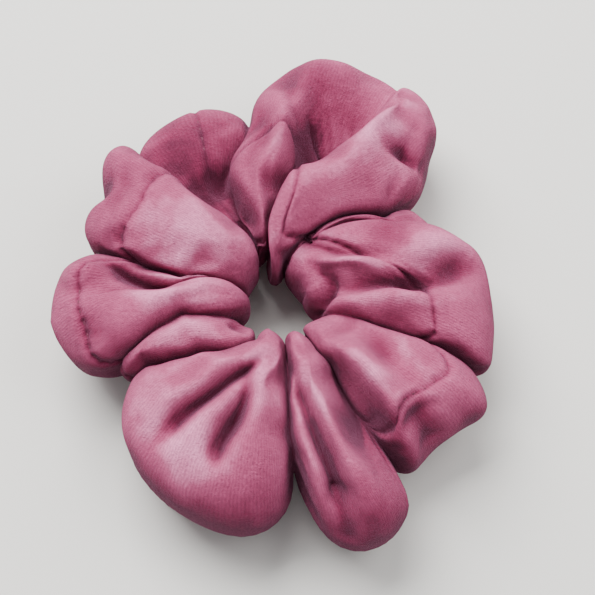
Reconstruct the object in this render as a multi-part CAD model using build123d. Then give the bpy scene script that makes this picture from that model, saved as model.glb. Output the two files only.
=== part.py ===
"""A gathered velvet scrunchie: a fabric tube bunched on a loop of flat elastic.

The loop lies flat. Its axis is Z, and the origin is on that axis, in the plane
that the scrunchie rests on. The fabric tube closes on itself, and is held here
as two halves that meet at X = 0, so that the loop can be pulled open along X.
Sizes are in millimetres.
"""

import os
from math import asin, cos, degrees, pi, radians, sin, sqrt, tan

from build123d import *

# Driving dimensions
OUTER_RADIUS = 59.0  # the loop's axis to the furthest point of a gather
HOLE_RADIUS = 9.5  # the gap left in the middle when nothing pulls on the loop
HEIGHT = 36.0
GATHERS = 10  # puffs of fabric around the loop, five to a half
GATHER_RADIUS = 18.6  # the round outer end of a puff
NECK_RADIUS = 3.0  # the inner end of a puff, where the fabric is bunched tight
FABRIC = 1.6  # velvet with its pile
ELASTIC_RADIUS = 24.0  # middle of the relaxed elastic
ELASTIC_WIDTH = 6.0
ELASTIC_THICKNESS = 1.0
ELASTIC_OVERLAP = 13.0  # length over which the elastic's two ends are sewn together
THREAD = 0.5  # diameter of the sewing thread

# Derived dimensions
PITCH = 360.0 / GATHERS
MIDDLE = HEIGHT - GATHER_RADIUS  # height of the puffs' centre line
COLLAR_THICKNESS = 6.0  # bunched fabric round the hole, out to where the puffs meet
COLLAR_HEIGHT = 12.0
NECK_CLEARANCE = 1.0  # from the hole's wall to the tip of a puff
# The loop's axis to the centres of a puff's round ends, and the slope between them
RIM_CENTRE = OUTER_RADIUS - GATHER_RADIUS
NECK_CENTRE = HOLE_RADIUS + NECK_CLEARANCE + NECK_RADIUS
SLOPE = asin((GATHER_RADIUS - NECK_RADIUS) / (RIM_CENTRE - NECK_CENTRE))
BIG = 4 * OUTER_RADIUS  # larger than the whole part


def gather(shrink):
    """A pear-shaped puff that lies along X, smaller by shrink all round."""
    rim_radius = GATHER_RADIUS - shrink
    neck_radius = NECK_RADIUS - shrink
    turn = 90 + degrees(SLOPE)
    rim = CenterArc((RIM_CENTRE, 0), rim_radius, 0, turn)
    neck = CenterArc((NECK_CENTRE, 0), neck_radius, turn, 180 - turn)
    flank = Line(rim @ 1, neck @ 0)
    axis = Line(neck @ 1, rim @ 0)
    half = make_face([rim, flank, neck, axis])
    return Pos(0, 0, MIDDLE) * revolve(half, Axis.X, 360)


def sector(half_angle):
    """The space within half_angle degrees of +X."""
    reach = BIG * cos(radians(half_angle)), BIG * sin(radians(half_angle))
    outline = Polyline((0, 0), (reach[0], -reach[1]), reach, close=True)
    return Pos(0, 0, -BIG / 2) * extrude(make_face(outline), BIG)


def above(height):
    """The space above a height."""
    return Pos(0, 0, height + BIG / 2) * Box(BIG, BIG, BIG)


def around(piece, middle_angle):
    """Copies of a piece on the five gathers of the half whose middle is at that angle."""
    offsets = range(-(GATHERS // 4), GATHERS // 4 + 1)
    return [Rot(0, 0, middle_angle + k * PITCH) * piece for k in offsets]


def joined(pieces):
    """The pieces as one solid."""
    whole = pieces[0]
    for piece in pieces[1:]:
        whole = whole + piece
    return whole


def sleeve_half(middle_angle):
    """Half of the hollow fabric tube, flat underneath, with its half of the bunched collar."""
    side = Rot(0, 0, middle_angle) * Pos(BIG / 2, 0, 0) * Box(BIG, BIG, BIG)
    outside = joined(around(gather(0), middle_angle)) & side & above(0)
    inside = joined(around(gather(FABRIC), middle_angle)) & above(FABRIC)
    collar = Cylinder(HOLE_RADIUS + COLLAR_THICKNESS, COLLAR_HEIGHT)
    collar -= Cylinder(HOLE_RADIUS, COLLAR_HEIGHT)
    return outside - inside + (Pos(0, 0, MIDDLE) * collar & side)


def stitch(length):
    """A straight stitch along Y, with round ends, centred on the origin."""
    straight = length - THREAD
    rod = Rot(90, 0, 0) * Cylinder(THREAD / 2, straight)
    ends = [Pos(0, end * straight / 2, 0) * Sphere(THREAD / 2) for end in (-1, 1)]
    return joined([rod, *ends])


def gather_section(distance):
    """Radius of a puff's section at a distance from the loop's axis."""
    if distance > RIM_CENTRE - GATHER_RADIUS * sin(SLOPE):
        return sqrt(GATHER_RADIUS**2 - (distance - RIM_CENTRE) ** 2)
    return (NECK_RADIUS + (distance - NECK_CENTRE) * sin(SLOPE)) / cos(SLOPE)


def long_seam(middle_angle):
    """Stitches of the seam along the tube, over the top of the gathers of one half."""
    crease = degrees(asin(RIM_CENTRE * tan(radians(PITCH / 2)) / GATHER_RADIUS))
    count = 8
    step = 2 * crease / count
    length = 0.72 * GATHER_RADIUS * radians(step)
    stitches = []
    for k in range(count):
        turn = -crease + (k + 0.5) * step
        laid = Pos(RIM_CENTRE, 0, MIDDLE) * Rot(turn, 0, 0)
        stitches.append(laid * Pos(0, 0, GATHER_RADIUS) * stitch(length))
    return Compound([s for one in stitches for s in around(one, middle_angle)])


def closing_seam(angle):
    """Stitches that close the tube into a loop, across the crease at that angle."""
    turn = radians(PITCH / 2)
    stitches = []
    # Distance from the loop's axis of each pair, one above and one underneath
    for distance in range(18, 49, 3):
        radius = gather_section(distance * cos(turn))
        rise = sqrt(radius**2 - (distance * sin(turn)) ** 2)
        for side in (-1, 1):
            place = Pos(distance, 0, MIDDLE + side * rise)
            stitches.append(Rot(0, 0, angle) * place * stitch(3.0))
    return Compound(stitches)


def elastic():
    """The flat elastic, a loop whose ends overlap on its outside."""
    inner = ELASTIC_RADIUS - ELASTIC_THICKNESS / 2
    outer = ELASTIC_RADIUS + ELASTIC_THICKNESS / 2
    lap = outer + ELASTIC_THICKNESS
    loop = Cylinder(outer, ELASTIC_WIDTH)
    loop -= Cylinder(inner, ELASTIC_WIDTH)
    end = Cylinder(lap, ELASTIC_WIDTH) - Cylinder(outer, ELASTIC_WIDTH)
    end &= Rot(0, 0, 180) * sector(degrees(ELASTIC_OVERLAP / 2 / outer))
    return Pos(0, 0, MIDDLE) * (loop + end)


def elastic_join():
    """The legs of a zigzag of thread that holds the elastic's two ends together."""
    surface = ELASTIC_RADIUS + 1.5 * ELASTIC_THICKNESS
    corners = 9
    reach = 0.36 * ELASTIC_WIDTH
    span = 0.8 * ELASTIC_OVERLAP / surface
    points = []
    for k in range(corners):
        angle = pi - span / 2 + span * k / (corners - 1)
        height = reach if k % 2 else -reach
        points.append(Vector(surface * cos(angle), surface * sin(angle), MIDDLE + height))
    legs = []
    for start, end in zip(points, points[1:]):
        along = end - start
        middle = (start + end) * 0.5
        outward = Vector(middle.X, middle.Y, 0)
        laid = Plane(origin=middle, x_dir=along.cross(outward), z_dir=outward)
        legs.append(laid * stitch(along.length - THREAD))
    return Compound(legs)


LEFT, RIGHT = 180.0, 0.0
CLOSING_ANGLE = 126.0  # the crease where the tube's ends are sewn together

os.makedirs("parts", exist_ok=True)
parts = {
    "sleeve_left": sleeve_half(LEFT),
    "sleeve_right": sleeve_half(RIGHT),
    "long_seam_left": long_seam(LEFT),
    "long_seam_right": long_seam(RIGHT),
    "closing_seam": closing_seam(CLOSING_ANGLE),
    "elastic": elastic(),
    "elastic_join": elastic_join(),
}
for name, shape in parts.items():
    export_step(shape, f"parts/{name}.step")
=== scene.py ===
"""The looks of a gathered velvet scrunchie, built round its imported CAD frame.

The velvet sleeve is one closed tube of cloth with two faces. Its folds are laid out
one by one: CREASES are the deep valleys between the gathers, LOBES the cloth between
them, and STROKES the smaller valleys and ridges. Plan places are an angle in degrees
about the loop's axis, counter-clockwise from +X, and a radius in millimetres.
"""

import math

import bpy
import numpy as np
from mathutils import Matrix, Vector


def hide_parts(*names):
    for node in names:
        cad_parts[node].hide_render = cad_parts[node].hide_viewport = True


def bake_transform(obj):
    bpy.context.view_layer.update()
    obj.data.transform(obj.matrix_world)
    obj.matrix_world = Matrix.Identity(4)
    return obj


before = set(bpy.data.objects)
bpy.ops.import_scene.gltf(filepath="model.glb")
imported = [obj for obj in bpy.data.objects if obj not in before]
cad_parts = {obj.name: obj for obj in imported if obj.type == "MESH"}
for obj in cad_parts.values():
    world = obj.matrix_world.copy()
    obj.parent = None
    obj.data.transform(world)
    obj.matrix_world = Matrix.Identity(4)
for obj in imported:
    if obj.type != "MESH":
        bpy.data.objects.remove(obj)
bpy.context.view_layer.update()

MM = 0.001
CORE_RADIUS = 26.5  # the line inside the tube that the creases run in to
CORE_HEIGHT = 15.5
RINGS = (12.0, 22.0, 34.0, 46.0, 58.0)  # radii at which a crease's angle is given

# Each crease: its angle at each of RINGS, and how far it goes in towards the core, as a
# share, at the hole, on top, at the rim and underneath. Then the shape of the cloth on
# its clockwise and counter-clockwise sides: a power, 1 for a straight slope and 4 for a
# flat top with a steep edge, and how many mm that side hangs over the crease.
CREASES = [
    ("sliver_d", (68, 52, 32, 24, 22), (0.20, 0.34, 0.20, 0.30), (2.6, 1.6), (1.5, 0.0)),
    ("b_c", (76, 61, 40, 38, 43), (0.30, 0.70, 0.62, 0.50), (1.8, 3.4), (0.0, 2.0)),
    ("a_b", (99, 88, 79, 68, 62), (0.45, 0.74, 0.07, 0.20), (4.0, 1.3), (1.5, 0.0)),
    ("k_a", (103, 108, 109, 98, 95), (0.35, 0.66, 0.36, 0.40), (3.2, 1.6), (2.0, 0.0)),
    ("j_k", (108, 119, 127, 131, 131), (0.35, 0.70, 0.30, 0.35), (1.5, 4.0), (0.0, 2.0)),
    ("i_j", (158, 166, 164, 162, 160), (0.40, 0.72, 0.40, 0.40), (4.0, 1.5), (2.0, 0.0)),
    ("h_i", (163, 172, 179, 184, 186), (0.25, 0.50, 0.00, 0.05), (1.4, 2.8), (0.0, 1.0)),
    ("h_h", (200, 191, 200, 206, 208), (0.30, 0.56, 0.34, 0.30), (3.0, 1.7), (1.0, 0.0)),
    ("g_h", (246, 219, 209, 210, 213), (0.45, 0.72, 0.50, 0.50), (2.0, 3.2), (0.0, 1.5)),
    ("f_g", (284, 279, 277, 277, 277), (0.45, 0.74, 0.70, 0.60), (3.4, 3.4), (0.0, 0.5)),
    ("e_f", (311, 309, 306, 305, 310), (0.30, 0.72, 0.30, 0.30), (1.5, 3.0), (0.0, 1.5)),
    ("d_e", (344, 344, 344, 342, 337), (0.30, 0.66, 0.50, 0.40), (2.0, 3.6), (0.0, 2.5)),
]

# The cloth that follows each crease, counter-clockwise: how far its crest stands in from
# the full section, as a share, at the hole, on top, at the rim and underneath, and where
# across it the crest is.
LOBES = [
    ("sliver", (0.30, 0.26, 0.10, 0.15), 0.50),
    ("b", (0.10, 0.02, 0.00, 0.00), 0.50),
    ("a", (0.12, 0.00, 0.00, 0.00), 0.60),
    ("k", (0.55, 0.50, 0.06, 0.06), 0.45),
    ("j", (0.00, 0.00, 0.02, 0.00), 0.50),
    ("i", (0.28, 0.20, 0.02, 0.05), 0.45),
    ("h", (0.00, 0.06, 0.00, 0.00), 0.36),
    ("h_low", (0.08, 0.16, 0.22, 0.15), 0.50),
    ("g", (0.02, 0.00, 0.00, 0.00), 0.50),
    ("f", (0.00, -0.02, 0.00, 0.00), 0.55),
    ("e", (0.06, 0.06, 0.02, 0.05), 0.35),
    ("d", (0.02, 0.00, 0.00, 0.00), 0.50),
]

# The section's reach outwards and inwards and its top, by angle
RIM = [
    (0, 51), (10, 50), (20, 50), (30, 47), (37, 44), (42, 49), (48, 58), (60, 64), (72, 67),
    (85, 68), (95, 64), (105, 59), (118, 58), (129, 60), (137, 55), (147, 51), (156, 51),
    (166, 51), (178, 52), (190, 49), (202, 43), (211, 42), (218, 46), (235, 51), (250, 54),
    (264, 56), (277, 57), (288, 61), (298, 60), (307, 54), (320, 51), (329, 54), (338, 61),
    (346, 58), (353, 53),
]
HOLE = [
    (0, 8), (20, 8), (45, 7), (72, 8), (95, 12), (120, 11), (150, 9), (180, 7), (225, 7),
    (270, 9), (315, 10), (340, 10),
]
TOP = [
    (0, 28), (15, 28), (30, 27), (45, 28), (65, 30), (85, 31), (105, 27), (120, 27), (140, 29),
    (165, 27), (190, 28), (210, 27), (240, 29), (270, 29), (300, 31), (325, 28), (345, 27),
]
# Smaller folds on top: the places that each runs through, how deep it is at each of them
# in mm, less than 0 for a ridge, how far it spreads to a side, and how sharp it is, from
# 0 for a soft hollow to 1 for two faces of cloth that press together.
STROKES = [
    ("d_split", [(2, 13), (1, 20), (4, 27), (3, 32), (359, 38)], (5, 5, 7, 13, 0), 4.2, 0.95),
    ("d_seam", [(56, 16), (38, 18), (22, 24), (11, 31)], (2, 3, 3, 1), 4.0, 0.5),
    ("c_pocket", [(40, 12), (22, 13), (6, 13), (352, 11)], (2, 8, 8, 3), 2.6, 0.9),
    ("d_band", [(28, 15), (18, 22), (10, 29)], (-2, -3, -1), 4.5, 0.0),
    ("d_lower", [(351, 17), (353, 27), (354, 36)], (-1, -2, -1), 5.0, 0.0),
    ("d_hollow", [(4, 38), (8, 43), (10, 50)], (2, 3, 0), 6.0, 0.1),
    ("d_top", [(26, 30), (18, 38), (16, 46)], (0, -3, -1), 7.0, 0.0),
    ("b_dimple", [(52, 47), (49, 49), (46, 50)], (4, 9, 6), 3.6, 0.6),
    ("b_soft", [(57, 36), (51, 33)], (0, 1), 7.0, 0.0),
    ("b_edge", [(75, 35), (66, 44), (61, 52), (58, 60)], (0, -2, -2, -1), 4.5, 0.2),
    ("b_crown", [(56, 50), (57, 42), (60, 32)], (-2, -2, -1), 8.0, 0.0),
    ("a_hollow", [(73, 42), (72, 49), (71, 55), (71, 60)], (8, 19, 19, 1), 11.5, 0.0),
    ("a_edge", [(79, 38), (82, 44), (86, 51)], (6, 9, 3), 4.5, 0.9),
    ("a_lip", [(96, 58), (86, 62), (76, 62), (68, 60)], (-2, -4, -4, -1), 6.0, 0.0),
    ("a_flap", [(93, 28), (87, 36), (86, 43), (90, 51)], (0, -3, -4, -2), 5.5, 0.0),
    ("k_pucker", [(115, 38), (114, 34)], (5, 6), 3.6, 0.6),
    ("k_crease", [(113, 34), (106, 40), (99, 44)], (5, 4, 1), 4.0, 0.7),
    ("k_valley", [(124, 44), (120, 33), (114, 22)], (2, 5, 3), 7.0, 0.1),
    ("a_low", [(111, 30), (108, 21), (105, 15)], (4, 4, 2), 3.5, 0.5),
    ("j_notch", [(148, 60), (147, 52), (144, 46)], (5, 4, 0), 4.5, 0.3),
    ("j_corner", [(138, 52), (136, 46)], (-2, -1), 6.0, 0.0),
    ("i_fold", [(173, 22), (174, 29), (171, 37), (167, 43)], (2, 6, 7, 0), 4.5, 0.7),
    ("i_ridge", [(168, 30), (167, 38), (174, 46)], (0, -2, -2), 5.0, 0.0),
    ("h_soft", [(190, 36), (192, 44), (194, 52)], (0, 2, 0), 7.0, 0.0),
    ("h_tip", [(219, 10), (214, 14)], (4, 1), 3.5, 0.7),
    ("g_long", [(259, 18), (248, 22), (241, 29), (236, 37), (234, 48)], (3, 8, 9, 9, 0), 5.0, 0.95),
    ("g_short", [(253, 21), (256, 28), (254, 34), (252, 40), (253, 46)],
     (2, 8, 11, 9, 0), 4.8, 0.95),
    ("f_deep", [(283, 20), (284, 28), (286, 40), (287, 51), (287, 57)],
     (2, 7, 11, 14, 3), 4.6, 0.95),
    ("f_hollow", [(309, 18), (305, 28), (302, 39), (303, 48)], (2, 6, 7, 3), 8.0, 0.0),
    ("e_ridge", [(315, 13), (318, 21), (317, 30), (316, 39)], (-1, -2, -3, -2), 6.0, 0.0),
    ("e_hollow", [(331, 20), (328, 29), (323, 37)], (2, 3, 1), 6.5, 0.0),
    ("e_low", [(318, 45), (317, 50)], (3, 3), 6.0, 0.2),
    ("e_rim", [(329, 62), (328, 57)], (7, 1), 4.0, 0.3),
]

# The seam along the tube: how far round the section it lies, in degrees up from the rim
SEAM = [
    (3, 84), (10, 100), (20, 112), (38, 128), (58, 128), (67, 112), (76, 96), (84, 84), (98, 82),
    (112, 84), (134, 76), (158, 66), (170, 52), (186, 44), (198, 20), (212, -8), (238, -22),
    (270, -22), (290, -14), (301, 16), (308, 46), (314, 60), (328, 62), (340, 64), (350, 76),
]

# Where the pile was brushed, together with painted shade and painted highlight: darker patches
# in the hollows, under flaps and at the rims, paler ones on lit crests. An angle, a radius, a
# spread and an amount, above 0 for pale
NAP_AND_SHADE = [
    (118, 46, 13, -0.55), (112, 28, 9, -0.25), (86, 62, 9, -0.40), (70, 62, 7, -0.30),
    (80, 57, 6, -0.34), (68, 53, 5, -0.30), (70, 49, 6, -0.35), (96, 48, 6, -0.30),
    (92, 26, 8, -0.05), (62, 48, 9, 0.28),
    (48, 56, 6, -0.25), (52, 34, 6, -0.12), (33, 33, 7, -0.30), (18, 40, 7, 0.22),
    (20, 20, 6, 0.18), (2, 50, 7, -0.22), (350, 30, 7, 0.10), (342, 54, 7, -0.15),
    (330, 36, 8, 0.08), (330, 56, 6, -0.18), (316, 30, 6, 0.20), (305, 44, 9, -0.38),
    (297, 28, 6, 0.25), (292, 56, 9, -0.20), (280, 36, 5, 0.05), (267, 50, 9, -0.18),
    (245, 42, 7, 0.28), (225, 40, 8, 0.05), (236, 54, 7, -0.15), (262, 24, 8, 0.18),
    (252, 58, 9, -0.30), (230, 55, 7, -0.30), (241, 58, 7, -0.28), (268, 60, 8, -0.22),
    (246, 49, 5, 0.22), (233, 45, 5, 0.22), (284, 62, 8, -0.26), (298, 61, 8, -0.26),
    (291, 47, 5, 0.15), (206, 24, 7, 0.15), (195, 42, 8, -0.25), (178, 26, 8, 0.30),
    (186, 50, 7, 0.02), (172, 40, 8, -0.28), (150, 48, 8, -0.28), (140, 26, 12, 0.30),
    (136, 52, 6, -0.10), (155, 34, 6, -0.05),
]

COLUMNS, ROWS = 560, 140  # of the outer face; the first row is the long seam
RIB = 0.0006  # the pitch of the knit's ribs
FLAT_LENGTH = 0.38  # the strip that the sleeve is sewn from
FLAT_WIDTH = 0.11
CLOTH_FRAMES = 15  # the simulation that settles the cloth
CLOTH_GROWTH = 0.07
CLOTH_PRESSURE = 0.08
CLOTH_REACH = 4.0  # the furthest that it may move a point, in mm
CLOTH_HELD = 0.45, 0.25  # the fold's depth from which it is held, and over which that grows
CLOTH_RESTING = 2.5, 2.0  # the height below which it rests on the floor, and the same, in mm
IRON_LIMIT, IRON_GAIN = 0.45, 1.5  # how far the cloth may disagree with its smoothed self
CLOTH_THICKNESS = 1.3  # between its two faces, in mm
SEAM_DEPTH = 1.0  # how far the seams pull the cloth in, in mm
SEAM_WIDTH = 0.9  # half the width of its groove, in mm
SEAM_SHADE = 0.6  # half the width of the dark line in it, in mm
SHOULDER = 2.6, 1.3, 0.22  # where the cloth swells beside it, how widely and how far, in mm
STITCH = 3.0  # from one stitch to the next, in mm
THREAD = 0.5  # the thread's diameter, in mm
STITCH_SINK = 0.3  # how far below the cloth's face the thread's middle lies, in mm
STITCH_HIDDEN = 0.65  # the same deep in a fold
ELASTIC_RADIUS = 24.5
ELASTIC_HEIGHT = 15.5  # of its middle, where the folds leave room
ELASTIC_WIDTH = 6.0
ELASTIC_THICKNESS = 1.0
LAP = 0.5 * 13.0 / 24.5  # half of the overlap of its ends, as an angle in radians


def around(table, angle):
    """A smooth closed curve through a table of (degrees, value), read at each angle."""
    at = np.array([a for a, _ in table], float)
    value = np.array([v for _, v in table], float)
    at = np.concatenate([at[-2:] - 360, at, at[:2] + 360])
    value = np.concatenate([value[-2:], value, value[:2]])
    slope = np.gradient(value, at)
    angle = np.mod(angle, 360)
    k = np.clip(np.searchsorted(at, angle, side="right") - 1, 0, len(at) - 2)
    span = at[k + 1] - at[k]
    t = (angle - at[k]) / span
    rise = value[k + 1] - value[k]
    bend = (slope[k] + slope[k + 1]) * span - 2 * rise
    return value[k] + t * (slope[k] * span + t * (rise - slope[k] * span - bend + t * bend))


def along(stops, values, x):
    """Values eased between stops, read at x."""
    stops, values = np.array(stops, float), np.array(values, float)
    x = np.clip(x, stops[0], stops[-1])
    k = np.clip(np.searchsorted(stops, x, side="right") - 1, 0, len(stops) - 2)
    t = (x - stops[k]) / (stops[k + 1] - stops[k])
    t = t * t * (3 - 2 * t)
    return values[k] + (values[k + 1] - values[k]) * t


def section_share(values, turn):
    """A value given at the hole, on top, at the rim and underneath, read round the section.

    What hardly shows at the rim ends on the tube's shoulder."""
    hole, top, rim, under = values
    shoulder = 50 if rim < 0.05 else 1
    stops = (0, shoulder, 90, 180, 270, 360)
    return along(stops, (rim, rim, top, hole, under, rim), np.degrees(turn) % 360)


def sleeve_grid():
    """The sleeve's outer face as columns by rows: points in mm, how deep in a fold each is,
    and how far round the section it is."""
    count = len(CREASES)
    middle = np.array([c[1][2] for c in CREASES], float)
    width = np.mod(np.roll(middle, -1) - middle, 360)
    shares = np.maximum(10, np.round(COLUMNS * (0.5 * width / 360 + 0.5 / count))).astype(int)
    shares[np.argmax(shares)] += COLUMNS - shares.sum()
    columns = []
    for k in range(count):
        now, after = CREASES[k], CREASES[(k + 1) % count]
        crest = LOBES[k][2]
        for step in range(shares[k]):
            u = step / shares[k]
            u = 0.45 * u + 0.55 * (0.5 - 0.5 * math.cos(math.pi * u))
            if u < crest:
                t, power, hang, edge = 1 - u / crest, now[3][1], -now[4][1], now[2]
            else:
                t, power, hang, edge = (u - crest) / (1 - crest), after[3][0], after[4][0], after[2]
            full = (1 - t**power) ** (1 / min(power, 2.0))
            columns.append((k, u, full, hang * math.sin(math.pi * t**3.5), edge))
    first = next(i for i, c in enumerate(columns) if LOBES[c[0]][0] == "k" and c[1] > 0.42)
    columns = columns[first:] + columns[:first]

    points = np.zeros((COLUMNS, ROWS, 3))
    fold = np.zeros((COLUMNS, ROWS))
    turns = np.zeros((COLUMNS, ROWS))
    for i, (k, u, full, shift, edge) in enumerate(columns):
        now, after = CREASES[k], CREASES[(k + 1) % count]
        rough = middle[k] + u * width[k]
        rim, hole, top = around(RIM, rough), around(HOLE, rough), around(TOP, rough)
        turn = np.radians(around(SEAM, rough)) + 2 * np.pi * np.arange(ROWS) / ROWS
        mid_radius = 0.5 * (rim + hole) + 1.0
        c, s = np.cos(turn), np.sin(turn)
        reach = np.where(c > 0, rim - mid_radius, mid_radius - hole)
        radius = mid_radius + reach * np.sign(c) * np.abs(c) ** 0.85
        upper = (top - CORE_HEIGHT) * np.abs(s) ** np.where(c < 0, 0.80, 0.95)
        lower = CORE_HEIGHT * np.abs(s) ** 0.7
        height = CORE_HEIGHT + np.where(s > 0, upper, -lower)
        share = section_share(LOBES[k][1], turn)
        share = share + (section_share(edge, turn) - share) * (1 - full)
        radius = radius + (CORE_RADIUS - radius) * share
        height = height + (CORE_HEIGHT - height) * share
        before = np.interp(radius, RINGS, now[1])
        behind = np.interp(radius, RINGS, after[1])
        behind = before + np.mod(behind - before + 180, 360) - 180
        angle = np.radians(before + (behind - before) * u)
        angle = angle + shift * np.clip(s, 0, 1) / np.maximum(radius, 14)
        points[i] = np.stack([radius * np.cos(angle), radius * np.sin(angle), height], -1)
        fold[i] = share
        turns[i] = turn
    return points, fold, turns


def smooth_path(path, steps=8):
    """Plan points, in mm, of a curve through places given as (degrees, radius)."""
    at = np.array([(r * math.cos(math.radians(a)), r * math.sin(math.radians(a))) for a, r in path])
    slope = np.gradient(at, axis=0)
    place = np.linspace(0, len(at) - 1, steps * (len(at) - 1) + 1)
    k = np.minimum(place.astype(int), len(at) - 2)
    t = (place - k)[:, None]
    rise = at[k + 1] - at[k]
    bend = slope[k] + slope[k + 1] - 2 * rise
    return at[k] + t * (slope[k] + t * (rise - slope[k] - bend + t * bend)), place


def nearest(plan, path):
    """How far each plan point is from a path, and the place along the path nearest to it."""
    line, place = smooth_path(path)
    best = np.full(plan.shape[:-1], 1e9)
    where = np.zeros(plan.shape[:-1])
    for a, b, first, last in zip(line, line[1:], place, place[1:]):
        d = b - a
        t = np.clip(((plan - a) @ d) / (d @ d), 0, 1)
        off = np.linalg.norm(plan - a - t[..., None] * d, axis=-1)
        closer = off < best
        best = np.where(closer, off, best)
        where = np.where(closer, first + (last - first) * t, where)
    return best, where


def carve(points, fold, turns, strength=1.0):
    """Presses the strokes into the upper side, at a share of their depths."""
    upper = np.clip(np.sin(turns) * 2.5 + 0.6, 0, 1) * strength
    # A stroke presses straight down on top of the tube, and inwards at its rim and hole
    sideways = np.clip(1.3 * abs(np.cos(turns)) - 0.45, 0.08, 0.8)
    core = np.array([CORE_RADIUS, CORE_HEIGHT])
    for _, path, depths, spread, sharp in STROKES:
        plan = points[..., :2]
        off, where = nearest(plan, path)
        x = np.clip(off / spread, 0, 1)
        soft = 0.5 + 0.5 * np.cos(np.pi * x)
        pressed = 1 - np.sqrt(1 - (1 - x) ** 2)
        depth = along(range(len(depths)), depths, where)
        amount = depth * (sharp * pressed + (1 - sharp) * soft) * upper
        radius = np.linalg.norm(plan, axis=-1)
        inward = np.stack([core[0] - radius, core[1] - points[..., 2]], -1)
        inward[..., 0] *= sideways
        inward /= np.maximum(np.linalg.norm(inward, axis=-1, keepdims=True), 4.0)
        scale = (radius + amount * inward[..., 0]) / radius
        points = points * np.stack([scale, scale, np.ones_like(scale)], -1)
        points[..., 2] += amount * inward[..., 1]
        fold = fold + amount / 20
    return points, fold


def relax(points, rounds, share):
    """Moves each point towards the middle of its neighbours."""
    for _ in range(rounds):
        near = sum(np.roll(points, step, axis) for axis in (0, 1) for step in (-1, 1)) / 4
        points = points + share * (near - points)
    return points


def finer(values):
    """Values on every second column and row, read between them on the full grid."""
    for axis in (0, 1):
        ahead = np.roll(values, -1, axis)
        values = np.stack([values, 0.5 * (values + ahead)], axis + 1)
        shape = list(values.shape)
        shape[axis : axis + 2] = [shape[axis] * 2]
        values = values.reshape(shape)
    return values


def outward(points):
    """The direction out of the cloth at each point."""
    along_tube = np.roll(points, -1, 0) - np.roll(points, 1, 0)
    round_tube = np.roll(points, -1, 1) - np.roll(points, 1, 1)
    normal = np.cross(along_tube, round_tube)
    return normal / np.maximum(np.linalg.norm(normal, axis=-1, keepdims=True), 1e-9)


def iron(points):
    """Smooths the cloth where its small folds cross each other, and nowhere else."""
    agree = (outward(points) * outward(relax(points, 6, 0.6))).sum(-1)
    crumpled = np.clip(IRON_LIMIT - IRON_GAIN * agree, 0, 1)
    crumpled = np.clip(3 * relax(crumpled, 4, 0.8), 0, 1)[..., None]
    return points + crumpled * (relax(points, 12, 0.8) - points)


def settle(points, fold):
    """How far the cloth moves, in mm, when it grows a little and fills between its creases."""
    coarse = points[::2, ::2]
    deep = fold[::2, ::2].ravel()
    columns, rows = coarse.shape[:2]
    cloth = mesh_object("settling", coarse.reshape(-1, 3) * MM, grid_faces(columns, rows))
    held = cloth.vertex_groups.new(name="held")
    resting = np.clip((CLOTH_RESTING[0] - coarse[..., 2].ravel()) / CLOTH_RESTING[1], 0, 1)
    weights = np.maximum(np.clip((deep - CLOTH_HELD[0]) / CLOTH_HELD[1], 0, 1), resting)
    for index in np.flatnonzero(weights > 0.02):
        held.add([int(index)], float(weights[index]), "REPLACE")
    cloth_modifier = cloth.modifiers.new("settle", "CLOTH")
    settings = cloth_modifier.settings
    settings.quality = 6
    settings.mass = 0.1
    settings.air_damping = 2.0
    settings.tension_stiffness = settings.compression_stiffness = 10
    settings.shear_stiffness = 4
    settings.bending_stiffness = 0.3
    settings.tension_damping = settings.compression_damping = settings.shear_damping = 5
    settings.bending_damping = 0.5
    settings.shrink_min = -CLOTH_GROWTH
    settings.use_pressure = True
    settings.uniform_pressure_force = CLOTH_PRESSURE
    settings.vertex_group_mass = "held"
    settings.pin_stiffness = 1.0
    settings.effector_weights.gravity = 0
    cloth_modifier.collision_settings.use_collision = False
    cloth_modifier.collision_settings.use_self_collision = False
    cloth_modifier.point_cache.frame_start = 1
    cloth_modifier.point_cache.frame_end = CLOTH_FRAMES
    for step in range(1, CLOTH_FRAMES + 1):
        bpy.context.scene.frame_set(step)
    evaluated = cloth.evaluated_get(bpy.context.evaluated_depsgraph_get())
    settled = np.zeros(coarse.size)
    evaluated.data.vertices.foreach_get("co", settled)
    move = settled.reshape(coarse.shape) / MM - coarse
    bpy.data.objects.remove(cloth)
    bpy.context.scene.frame_set(1)
    far = np.linalg.norm(move, axis=-1, keepdims=True)
    return finer(move * np.minimum(1, CLOTH_REACH / np.maximum(far, 1e-6)))


def grid_faces(columns, rows, first=0, inward=False):
    """Quads that close a grid of points both ways, as vertex numbers."""
    i, j = np.meshgrid(np.arange(columns), np.arange(rows), indexing="ij")
    ahead, up = (i + 1) % columns, (j + 1) % rows
    quads = np.stack([i * rows + j, ahead * rows + j, ahead * rows + up, i * rows + up], -1)
    quads = quads.reshape(-1, 4) + first
    return quads[:, ::-1] if inward else quads


def mesh_object(name, points, faces, uv=None, **values):
    """A smooth mesh from points in metres, with a UV map and named point values."""
    mesh = bpy.data.meshes.new(name)
    mesh.from_pydata(np.asarray(points).tolist(), [], [list(map(int, face)) for face in faces])
    mesh.update()
    mesh.shade_smooth()
    if uv is not None:
        layer = mesh.uv_layers.new(name="cloth")
        layer.data.foreach_set("uv", uv.astype(np.float32).ravel())
    for key, value in values.items():
        attribute = mesh.attributes.new(key, "FLOAT", "POINT")
        attribute.data.foreach_set("value", value.astype(np.float32).ravel())
    piece = bpy.data.objects.new(name, mesh)
    bpy.context.scene.collection.objects.link(piece)
    return piece


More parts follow.
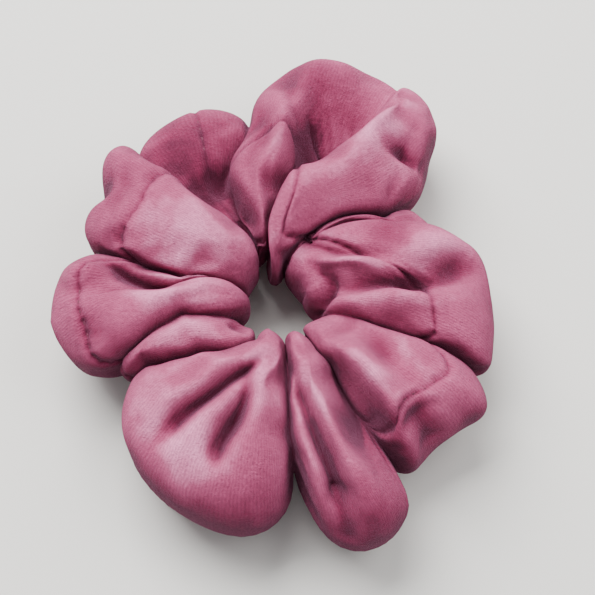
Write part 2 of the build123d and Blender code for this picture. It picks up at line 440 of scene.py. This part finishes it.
def cloth_uv(points):
    """Places on the flat cloth, in metres, for each corner of the grid's quads."""
    columns, rows = points.shape[:2]
    step = np.linalg.norm(np.roll(points, -1, 0) - points, axis=-1).mean(1)
    along_strip = np.concatenate([[0], np.cumsum(step)]) / step.sum() * FLAT_LENGTH
    across_strip = np.arange(rows + 1) / rows * FLAT_WIDTH
    i, j = np.meshgrid(np.arange(columns), np.arange(rows), indexing="ij")
    corners = [(i, j), (i + 1, j), (i + 1, j + 1), (i, j + 1)]
    places = [np.stack([along_strip[a], across_strip[b]], -1) for a, b in corners]
    return np.stack(places, 2).reshape(-1, 2)


def press_seams(points, fold):
    """Pulls the cloth in along the first row and the first column, more at each stitch.

    The groove fades out deep in a fold."""
    normal = outward(relax(points, 2, 0.5))
    columns, rows = points.shape[:2]
    depth = np.zeros((columns, rows))
    mark = np.zeros((columns, rows))
    for axis in (0, 1):
        across = np.linalg.norm(np.roll(points, -1, axis) - points, axis=-1)
        before = np.cumsum(across, axis) - across
        off = np.minimum(before, across.sum(axis, keepdims=True) - before)
        line = np.take(points, [0], axis)
        step = np.linalg.norm(np.roll(line, -1, 1 - axis) - line, axis=-1)
        run = np.cumsum(step, 1 - axis)
        pucker = 0.75 + 0.25 * np.cos(2 * np.pi * run / STITCH)
        groove = np.exp(-((off / SEAM_WIDTH) ** 2))
        shoulder = np.exp(-(((off - SHOULDER[0]) / SHOULDER[1]) ** 2))
        depth = np.maximum(depth, SEAM_DEPTH * groove * pucker) - SHOULDER[2] * shoulder * pucker
        mark = np.maximum(mark, (0.6, 1.0)[axis] * np.exp(-((off / SEAM_SHADE) ** 2)))
    depth *= np.clip((0.62 - fold) / 0.2, 0.1, 1)
    return points - depth[..., None] * normal, mark


def cavities(points, rounds):
    """How far each point lies below the cloth round it, in mm, less than 0 on a crest."""
    even = relax(points, rounds, 0.8)
    return ((even - points) * outward(even)).sum(-1)


def brushed_and_shaded(points):
    """Brushed pile together with painted shade and painted highlight: above 0 where it is pale,
    below 0 where it is dark.
    """
    value = np.zeros(points.shape[:-1])
    for angle, radius, spread, amount in NAP_AND_SHADE:
        centre = radius * np.array([math.cos(math.radians(angle)), math.sin(math.radians(angle))])
        off = np.linalg.norm(points[..., :2] - centre, axis=-1) / spread
        value += amount * np.exp(-(off**2))
    return value


def read_line(line, lengths):
    """Rows of a closed line, whose first three columns are its points, at lengths along it."""
    closed = np.concatenate([line, line[:1]])
    at = np.concatenate([[0], np.cumsum(np.linalg.norm(np.diff(closed[:, :3], axis=0), axis=1))])
    return np.stack([np.interp(lengths, at, column) for column in closed.T], -1)


def line_length(line):
    return np.linalg.norm(np.roll(line[:, :3], -1, 0) - line[:, :3], axis=1).sum()


def stitch_ends(points, normals, fold):
    """The starts, ends and normals of stitches laid along a closed line of points.

    Deep in a fold the cloth closes over them."""
    sunk = STITCH_SINK + (STITCH_HIDDEN - STITCH_SINK) * np.clip((fold - 0.40) / 0.15, 0, 1)
    line = np.concatenate([points, normals, sunk[:, None]], 1)
    length = line_length(line)
    count = round(length / STITCH)
    middles = (np.arange(count) + 0.5) * length / count
    half = 0.36 * STITCH
    starts, ends = read_line(line, middles - half), read_line(line, middles + half)
    normal = starts[:, 3:6] + ends[:, 3:6]
    normal /= np.linalg.norm(normal, axis=1, keepdims=True)
    sink = np.maximum(starts[:, 6:], ends[:, 6:]) * normal
    return starts[:, :3] - sink, ends[:, :3] - sink, normal


def threads(name, starts, ends, normals, dip=0.25):
    """Round-ended lengths of thread, each bowed so that its ends sink in by dip mm."""
    rings = ((-1, 0.35), (-0.93, 0.75), (-0.75, 1), (0, 1), (0.75, 1), (0.93, 0.75), (1, 0.35))
    sides = 8
    vertices, faces = [], []
    for start, end, normal in zip(starts, ends, normals):
        run = (end - start) / np.linalg.norm(end - start)
        across = np.cross(normal, run)
        across /= np.linalg.norm(across)
        lift = np.cross(run, across)
        base = len(vertices)
        for t, size in rings:
            centre = 0.5 * (start + end) + 0.5 * t * (end - start) - dip * t * t * lift
            for k in range(sides):
                turn = 2 * math.pi * k / sides
                side = math.cos(turn) * across + math.sin(turn) * lift
                vertices.append((centre + 0.5 * THREAD * size * side) * MM)
        for ring in range(len(rings) - 1):
            for k in range(sides):
                a, b = base + ring * sides + k, base + ring * sides + (k + 1) % sides
                faces.append((a, b, b + sides, a + sides))
        last = base + (len(rings) - 1) * sides
        faces.append([base + k for k in reversed(range(sides))])
        faces.append([last + k for k in range(sides)])
    return mesh_object(name, vertices, faces)


def elastic_path(inside):
    """The angle, radius and height of the elastic along its length, under the sleeve's folds."""
    angle = np.linspace(math.pi - LAP, 3 * math.pi + LAP, 361)
    flat = inside.reshape(-1, 3)
    turn = np.degrees(np.arctan2(flat[:, 1], flat[:, 0])) % 360
    reach = np.hypot(flat[:, 0], flat[:, 1])
    near = (abs(reach - ELASTIC_RADIUS) < 2.5) & (flat[:, 2] > CORE_HEIGHT - 6)
    room = np.full(360, ELASTIC_HEIGHT)
    for at in range(360):
        close = near & (abs((turn - at + 180) % 360 - 180) < 3.0)
        if close.any():
            room[at] = min(ELASTIC_HEIGHT, flat[close, 2].min() - ELASTIC_WIDTH / 2 - 0.9)
    for _ in range(3):
        room = np.minimum(room, np.minimum(np.roll(room, 3), np.roll(room, -3)))
    for _ in range(60):
        room = np.minimum(room, 0.5 * room + 0.25 * (np.roll(room, 1) + np.roll(room, -1)) + 0.02)
    smooth = room.copy()
    for _ in range(40):
        smooth = 0.5 * smooth + 0.25 * (np.roll(smooth, 1) + np.roll(smooth, -1))
    height = np.interp(np.degrees(angle) % 360, np.arange(361), np.append(smooth, smooth[0]))
    climb = np.clip((angle - (3 * math.pi - LAP - 0.25)) / 0.22, 0, 1)
    climb = climb * climb * (3 - 2 * climb)
    radius = ELASTIC_RADIUS + climb * (ELASTIC_THICKNESS + 0.08) + 0.25 * np.sin(7 * angle)
    return angle, radius, height


def elastic_band(angle, radius, height):
    """The flat elastic: one ribbed strip whose outer end lies over the inner one."""
    cords = 7
    z = np.linspace(-0.48, 0.48, 8 * cords + 1) * ELASTIC_WIDTH
    ribbed = 0.5 * ELASTIC_THICKNESS * (0.9 + 0.1 * np.cos(2 * np.pi * cords * z / ELASTIC_WIDTH))
    edge = 0.25 * ELASTIC_THICKNESS, 0.5 * ELASTIC_WIDTH
    outer = [(edge[0], -edge[1]), *zip(ribbed, z), (edge[0], edge[1])]
    section = np.array(outer + [(-x, -y) for x, y in outer])
    across, up = section[:, 0], section[:, 1]
    reach = radius[:, None] + across
    points = np.stack(
        [reach * np.cos(angle)[:, None], reach * np.sin(angle)[:, None], height[:, None] + up], -1
    )
    stations, n = points.shape[:2]
    i, j = np.meshgrid(np.arange(stations - 1), np.arange(n), indexing="ij")
    up_one = (j + 1) % n
    faces = np.stack([i * n + j, (i + 1) * n + j, (i + 1) * n + up_one, i * n + up_one], -1)
    caps = [list(range(n)), list(range(stations * n - 1, (stations - 1) * n - 1, -1))]
    return mesh_object("elastic_band", points.reshape(-1, 3) * MM, [*faces.reshape(-1, 4), *caps])


def zigzag(height):
    """The thread that holds the elastic's two ends together, as its legs."""
    surface = ELASTIC_RADIUS + 1.5 * ELASTIC_THICKNESS + 0.18
    legs = 8
    angle = math.pi + np.linspace(-0.8, 0.8, legs + 1) * LAP
    level = height + 0.36 * ELASTIC_WIDTH * np.where(np.arange(legs + 1) % 2, 1, -1)
    corners = np.stack([surface * np.cos(angle), surface * np.sin(angle), level], -1)
    out = 0.5 * (corners[1:] + corners[:-1]) * (1, 1, 0)
    return corners[:-1], corners[1:], out / np.linalg.norm(out, axis=1, keepdims=True)


class Nodes:
    """Short ways to add shader nodes to a material."""

    def __init__(self, name):
        self.material = bpy.data.materials.new(name)
        self.material.use_nodes = True
        self.tree = self.material.node_tree
        self.shader = self.tree.nodes["Principled BSDF"]

    def add(self, kind, **settings):
        node = self.tree.nodes.new("ShaderNode" + kind)
        for key, value in settings.items():
            setattr(node, key, value)
        return node

    def link(self, source, target):
        self.tree.links.new(source, target)

    def put(self, value, socket):
        if isinstance(value, bpy.types.NodeSocket):
            self.link(value, socket)
        else:
            socket.default_value = value

    def math(self, operation, a, b=0.0, clamp=False):
        node = self.add("Math", operation=operation, use_clamp=clamp)
        self.put(a, node.inputs[0])
        self.put(b, node.inputs[1])
        return node.outputs[0]

    def remap(self, value, low, high, to_low=0.0, to_high=1.0, eased=True):
        node = self.add("MapRange", interpolation_type="SMOOTHSTEP" if eased else "LINEAR")
        for number, socket in zip((value, low, high, to_low, to_high), node.inputs):
            self.put(number, socket)
        return node.outputs[0]

    def noise(self, place, scale, detail=2.0, roughness=0.5, distortion=0.0):
        node = self.add("TexNoise")
        self.link(place, node.inputs["Vector"])
        node.inputs["Scale"].default_value = scale
        node.inputs["Detail"].default_value = detail
        node.inputs["Roughness"].default_value = roughness
        node.inputs["Distortion"].default_value = distortion
        return node.outputs["Fac"]

    def mix(self, share, a, b, blend="MIX"):
        node = self.add("Mix", data_type="RGBA", blend_type=blend)
        self.put(share, node.inputs["Factor"])
        self.put(a, node.inputs["A"])
        self.put(b, node.inputs["B"])
        return node.outputs["Result"]

    def bump(self, height, strength, distance, below=None):
        node = self.add("Bump")
        node.inputs["Strength"].default_value = strength
        node.inputs["Distance"].default_value = distance
        self.link(height, node.inputs["Height"])
        if below is not None:
            self.link(below, node.inputs["Normal"])
        return node.outputs["Normal"]

    def set(self, **values):
        for key, value in values.items():
            self.put(value, self.shader.inputs[key.replace("_", " ")])


def velvet():
    """Knit velvet: a brushed pile over fine ribs, with a painted highlight where it faces up and
    painted shade in its creases, hollows and deep folds.
    """
    n = Nodes("velvet")
    place = n.add("TexCoord").outputs["Object"]
    uv = n.add("TexCoord").outputs["UV"]
    facing = n.add("SeparateXYZ")
    n.link(n.add("NewGeometry").outputs["Normal"], facing.inputs[0])
    fold, seam, cavity_shade, hollow_shade, nap_and_shade = (
        n.add("Attribute", attribute_name=name).outputs["Fac"]
        for name in ("fold", "seam", "cavity_shade", "hollow_shade", "nap_and_shade")
    )
    # Patches where the pile was brushed one way or the other
    brushing = n.noise(place, 62, detail=3, roughness=0.55, distortion=1.2)
    mottle = n.noise(place, 230, detail=3, roughness=0.6)
    # Painted highlight: the colour is paler where the cloth faces up, as if lit from above, and
    # darker on its sides and underside
    lift = n.math("MULTIPLY", n.remap(facing.outputs["Z"], -0.2, 1.0), 0.52)
    for value, amount in (
        (brushing, 0.46),
        (mottle, 0.26),
        # Brushed pile mixed with painted shade in hollows and at the rims and painted highlight on
        # crests
        (nap_and_shade, 0.80),
        # Painted shade: darker in small creases, in larger hollows and deeper in the folds, with a
        # faint painted highlight on crests
        (n.remap(cavity_shade, -0.5, 0.9, 0.06, -0.34), 1.0),
        (n.remap(hollow_shade, -2.0, 5.0, 0.10, -0.34), 1.0),
        (fold, -0.12),
        (seam, -0.30),
    ):
        lift = n.math("ADD", lift, n.math("MULTIPLY", value, amount))
    lift = n.math("SUBTRACT", lift, 0.37, clamp=True)
    ramp = n.add("ValToRGB")
    n.link(lift, ramp.inputs["Fac"])
    stops = (
        (0.0, (0.085, 0.006, 0.024)),
        (0.25, (0.240, 0.022, 0.070)),
        (0.60, (0.490, 0.088, 0.195)),
        (1.0, (1.000, 0.340, 0.580)),
    )
    while len(ramp.color_ramp.elements) < len(stops):
        ramp.color_ramp.elements.new(0.5)
    for element, (position, colour) in zip(ramp.color_ramp.elements, stops):
        element.position = position
        element.color = (*colour, 1)
    # The knit's ribs run round the tube, with short breaks where the pile is ruffled
    split = n.add("SeparateXYZ")
    n.link(uv, split.inputs[0])
    sway = n.math("MULTIPLY", n.noise(place, 260, detail=2), 0.0011)
    across = n.math("ADD", split.outputs["X"], sway)
    rib = n.math("SINE", n.math("MULTIPLY", across, 2 * math.pi / RIB))
    grain = n.noise(place, 1250, detail=4, roughness=0.85)
    shade = n.math("MULTIPLY", n.math("SUBTRACT", grain, 0.5), 2.1)
    shade = n.math("ADD", shade, n.math("MULTIPLY", rib, 0.17))
    tint = n.math("ADD", 0.5, shade, clamp=True)
    colour = n.mix(tint, (0.72, 0.66, 0.68, 1), (1.22, 1.30, 1.28, 1))
    n.set(Base_Color=n.mix(1.0, ramp.outputs["Color"], colour, "MULTIPLY"))
    n.set(Roughness=n.remap(brushing, 0.3, 0.7, 0.72, 0.92), Specular_IOR_Level=0.08)
    n.set(Sheen_Weight=0.32, Sheen_Roughness=0.55, Sheen_Tint=(1.0, 0.40, 0.68, 1))
    pile = n.bump(grain, 0.9, 0.0009)
    n.set(Normal=n.bump(n.math("MULTIPLY", rib, 0.5), 0.22, 0.0002, pile))
    return n.material


def thread_material(name, colour, scale=5200):
    """Spun thread: fine twisted strands with a soft gloss."""
    n = Nodes(name)
    place = n.add("TexCoord").outputs["Object"]
    strands = n.add("TexWave", wave_type="BANDS", bands_direction="DIAGONAL")
    n.link(place, strands.inputs["Vector"])
    for key, value in (("Scale", 900.0), ("Distortion", 1.5), ("Detail", 2.0)):
        strands.inputs[key].default_value = value
    twist = strands.outputs["Fac"]
    fluff = n.noise(place, scale, detail=2)
    dark = tuple(0.55 * c for c in colour)
    shade = n.math("ADD", n.math("MULTIPLY", twist, 0.6), n.math("MULTIPLY", fluff, 0.4))
    n.set(Base_Color=n.mix(shade, (*dark, 1), (*colour, 1)))
    n.set(Roughness=n.remap(fluff, 0.3, 0.7, 0.55, 0.8), Specular_IOR_Level=0.3)
    n.set(Sheen_Weight=0.2, Sheen_Roughness=0.5)
    n.set(Normal=n.bump(shade, 0.5, 0.00008))
    return n.material


def elastic_material():
    """Knitted elastic: rubber cords wrapped in white yarn, with the yarn's short cross ribs."""
    n = Nodes("elastic")
    place = n.add("TexCoord").outputs["Object"]
    parts = n.add("SeparateXYZ")
    n.link(place, parts.inputs[0])
    round_loop = n.math("ARCTAN2", parts.outputs["Y"], parts.outputs["X"])
    ribs = n.math("SINE", n.math("MULTIPLY", round_loop, 230.0))
    cords = n.math("SINE", n.math("MULTIPLY", parts.outputs["Z"], 2 * math.pi * 7 / 0.006))
    fluff = n.noise(place, 3000, detail=2, roughness=0.6)
    soiled = n.noise(place, 120, detail=3)
    height = n.math("ADD", n.math("MULTIPLY", ribs, 0.5), n.math("MULTIPLY", cords, 0.3))
    height = n.math("ADD", height, fluff)
    soiled = n.math("MULTIPLY", soiled, 0.5)
    tone = n.math("ADD", n.math("MULTIPLY", height, 0.25), soiled, clamp=True)
    n.set(Base_Color=n.mix(tone, (0.60, 0.57, 0.52, 1), (0.86, 0.84, 0.80, 1)))
    n.set(Roughness=n.remap(fluff, 0.3, 0.7, 0.6, 0.85), Specular_IOR_Level=0.3, Sheen_Weight=0.15)
    n.set(Normal=n.bump(height, 0.6, 0.00012))
    return n.material


def studio():
    floor = bpy.data.meshes.new("floor")
    side = 1.5
    corners = [(-side, -side, 0), (side, -side, 0), (side, side, 0), (-side, side, 0)]
    floor.from_pydata(corners, [], [(0, 1, 2, 3)])
    ground = bpy.data.objects.new("floor", floor)
    bpy.context.scene.collection.objects.link(ground)
    ground.location.z = -0.0003
    material = bpy.data.materials.new("floor")
    material.use_nodes = True
    shader = material.node_tree.nodes["Principled BSDF"]
    shader.inputs["Base Color"].default_value = (0.80, 0.78, 0.74, 1)
    shader.inputs["Roughness"].default_value = 0.9
    floor.materials.append(material)
    world = bpy.data.worlds.new("studio")
    bpy.context.scene.world = world
    world.use_nodes = True
    world.node_tree.nodes["Background"].inputs["Color"].default_value = (0.95, 0.97, 1.0, 1)
    world.node_tree.nodes["Background"].inputs["Strength"].default_value = 0.50
    for name, place, size, power in (
        ("key", (-0.30, 0.55, 0.75), 0.80, 25.0),
        ("fill", (0.55, 0.15, 0.60), 0.60, 4.0),
    ):
        lamp = bpy.data.lights.new(name, "AREA")
        lamp.size = size
        lamp.energy = power
        light = bpy.data.objects.new(name, lamp)
        light.location = place
        light.rotation_euler = (-Vector(place)).to_track_quat("-Z", "Y").to_euler()
        bpy.context.scene.collection.objects.link(light)


def camera():
    elevation = math.radians(68)
    distance = 0.40
    target = Vector((0.0057, 0.0089, 0.0))
    seen = bpy.data.cameras.new("camera")
    seen.lens = 36 * distance / 0.1506
    seen.sensor_width = 36
    view = bpy.data.objects.new("camera", seen)
    view.location = target + distance * Vector((0, -math.cos(elevation), math.sin(elevation)))
    view.rotation_euler = (target - view.location).to_track_quat("-Z", "Y").to_euler()
    bpy.context.scene.collection.objects.link(view)
    bpy.context.scene.camera = view


# The sleeve: the outer face, and the inner face inside it
points, fold, turns = sleeve_grid()
points, fold = carve(points, fold, turns, 0.8)
points = relax(points, 2, 0.5)
points = relax(points + settle(points, fold), 9, 0.5)
points, fold = carve(points, fold, turns, 0.3)
points = iron(relax(points, 1, 0.4))
points[..., 2] = np.maximum(points[..., 2], 0)
unseamed = points
points, seam = press_seams(points, fold)
points[..., 2] = np.maximum(points[..., 2], 0)
smooth_normal = outward(relax(points, 6, 0.6))
inside = (points - CLOTH_THICKNESS * smooth_normal)[::2, ::2]
inside[..., 2] = np.maximum(inside[..., 2], 0.9 * CLOTH_THICKNESS)
both = np.concatenate([points.reshape(-1, 3), inside.reshape(-1, 3)]) * MM
faces = np.concatenate(
    [grid_faces(COLUMNS, ROWS), grid_faces(COLUMNS // 2, ROWS // 2, COLUMNS * ROWS, inward=True)]
)
uv = np.concatenate([cloth_uv(points), cloth_uv(inside)])
# Values kept on the cloth for its colour: fold, cavity and hollow paint shade into its folds,
# creases and hollows; nap paints brushed pile with painted shade and highlight
marks = {
    "fold": fold,
    "seam": seam,
    "cavity_shade": cavities(unseamed, 14),
    "hollow_shade": cavities(unseamed[::2, ::2], 60).repeat(2, 0).repeat(2, 1),
    "nap_and_shade": brushed_and_shaded(points),
}
marks = {key: np.concatenate([m.ravel(), m[::2, ::2].ravel()]) for key, m in marks.items()}
sleeve = mesh_object("velvet_sleeve", both, faces, uv, **marks)

# The thread in its two seams
normal = outward(points)
starts, ends, normals = stitch_ends(points[:, 0], normal[:, 0], fold[:, 0])
on_left = starts[:, 0] + ends[:, 0] < 0
seam_left = threads("long_seam_thread_left", starts[on_left], ends[on_left], normals[on_left])
seam_right = threads("long_seam_thread_right", starts[~on_left], ends[~on_left], normals[~on_left])
closing = threads("closing_seam_thread", *stitch_ends(points[0], normal[0], fold[0]))

# The elastic inside it
angle, radius, height = elastic_path(inside)
band = elastic_band(angle, radius, height)
join = threads("elastic_join_thread", *zigzag(np.interp(math.pi, angle, height)), dip=0.05)

sewing_thread = thread_material("thread", (0.20, 0.03, 0.075))
looks = [
    (sleeve, velvet(), "velvet", ("sleeve_left", "sleeve_right")),
    (seam_left, sewing_thread, "thread", ("long_seam_left",)),
    (seam_right, sewing_thread, "thread", ("long_seam_right",)),
    (closing, sewing_thread, "thread", ("closing_seam",)),
    (band, elastic_material(), "elastic", ("elastic",)),
    (join, thread_material("join_thread", (0.75, 0.73, 0.70)), "join_thread", ("elastic_join",)),
]
for piece, material, slot, nodes in looks:
    piece.data.materials.append(material)
    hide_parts(*nodes)
    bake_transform(piece)

studio()
camera()
